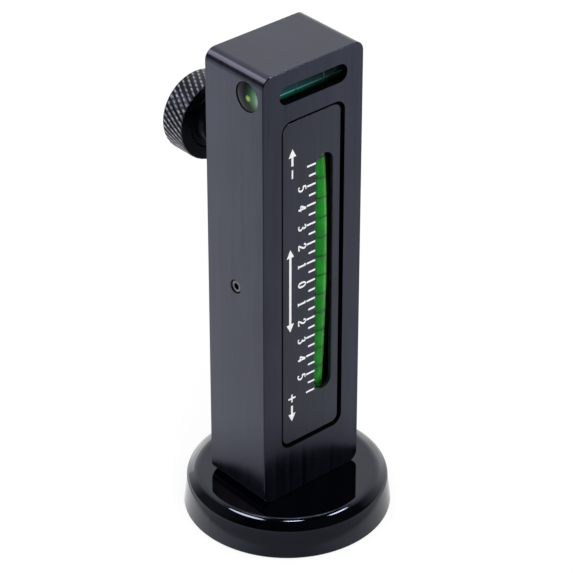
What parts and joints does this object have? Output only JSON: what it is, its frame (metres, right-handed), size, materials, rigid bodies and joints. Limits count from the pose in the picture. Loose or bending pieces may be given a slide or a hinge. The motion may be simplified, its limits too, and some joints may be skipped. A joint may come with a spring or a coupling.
{
  "type": "magnetic camber caster gauge",
  "caption": "Black metal block with spirit vials and degree scales on a round pot magnet, with a knurled knob that tilts the caster vial.",
  "frame": {"origin": "centre of the magnet's contact face", "axes": "+Z along the block, away from the magnet; the camber scale faces -Y; the knob is on the +Y side; the set screw of the caster carrier is in the -X face"},
  "size_m": [0.062, 0.0709, 0.152],
  "materials": {
    "block": "black anodised, fine brushed",
    "plate": "black anodised, satin, printed in white",
    "cup": "gloss black enamel",
    "knob": "gloss black, straight knurl on the rim",
    "vial": "clear acrylic",
    "liquid": "yellow-green liquid",
    "plug": "translucent acrylic",
    "ring": "black ink",
    "bed": "dark potting compound",
    "carrier": "black moulded nylon",
    "screw": "black oxide",
    "pin": "ground",
    "stud": "zinc plated, threaded",
    "bush": "turned",
    "rubber": "matt",
    "nylon": "natural acetal",
    "ferrite": "sintered, matt",
    "pole": "ground face",
    "resin": "black epoxy"
  },
  "bodies": {
    "housing": {"body_block": "block", "camber_scale_plate": "plate", "camber_vial_tube": "vial", "camber_vial_liquid": "liquid", "camber_vial_plugs": "plug", "camber_vial_rings": "ring", "camber_vial_bed": "bed", "cross_vial_tube": "vial", "cross_vial_liquid": "liquid", "cross_vial_plug": "plug", "cross_vial_rings": "ring", "caster_scale_plate": "plate", "rear_plate_screws": "screw", "pivot_set_screw": "screw", "carrier_pivot_pin": "pin", "return_spring": "pin", "thread_bush": "bush", "friction_ring": "rubber", "magnet_cup": "cup", "ring_magnet": "ferrite", "pole_piece": "pole", "resin_fill": "resin", "base_bolt": "screw", "lock_washer": "pin"},
    "carrier": {"caster_carrier": "carrier", "caster_vial_tube": "vial", "caster_vial_liquid": "liquid", "caster_vial_plugs": "plug", "caster_vial_rings": "ring"},
    "pad": {"thrust_pad": "nylon"},
    "knob": {"adjust_screw": "stud", "adjust_knob": "knob", "knob_set_screw": "screw"}
  },
  "joints": [
    {"name": "pad_feed", "type": "slide", "parent": "housing", "child": "pad", "axis": [0, 1, 0], "range_m": [-0.00125, 0.00125]},
    {"name": "knob_spin", "type": "hinge", "parent": "pad", "child": "knob", "pos_m": [0, 0.0182, 0.1161], "axis": [0, 1, 0], "range_deg": [-460, 460]},
    {"name": "carrier_tilt", "type": "hinge", "parent": "housing", "child": "carrier", "pos_m": [-0.006, 0.0013, 0.0814], "axis": [1, 0, 0], "range_deg": [-2.1, 2.1], "deforming": ["return_spring"]}
  ],
  "couplings": [
    {"joint": "knob_spin", "follows": "pad_feed", "rad_per_m": 6283.2},
    {"joint": "carrier_tilt", "follows": "pad_feed", "rad_per_m": -28.818}
  ]
}
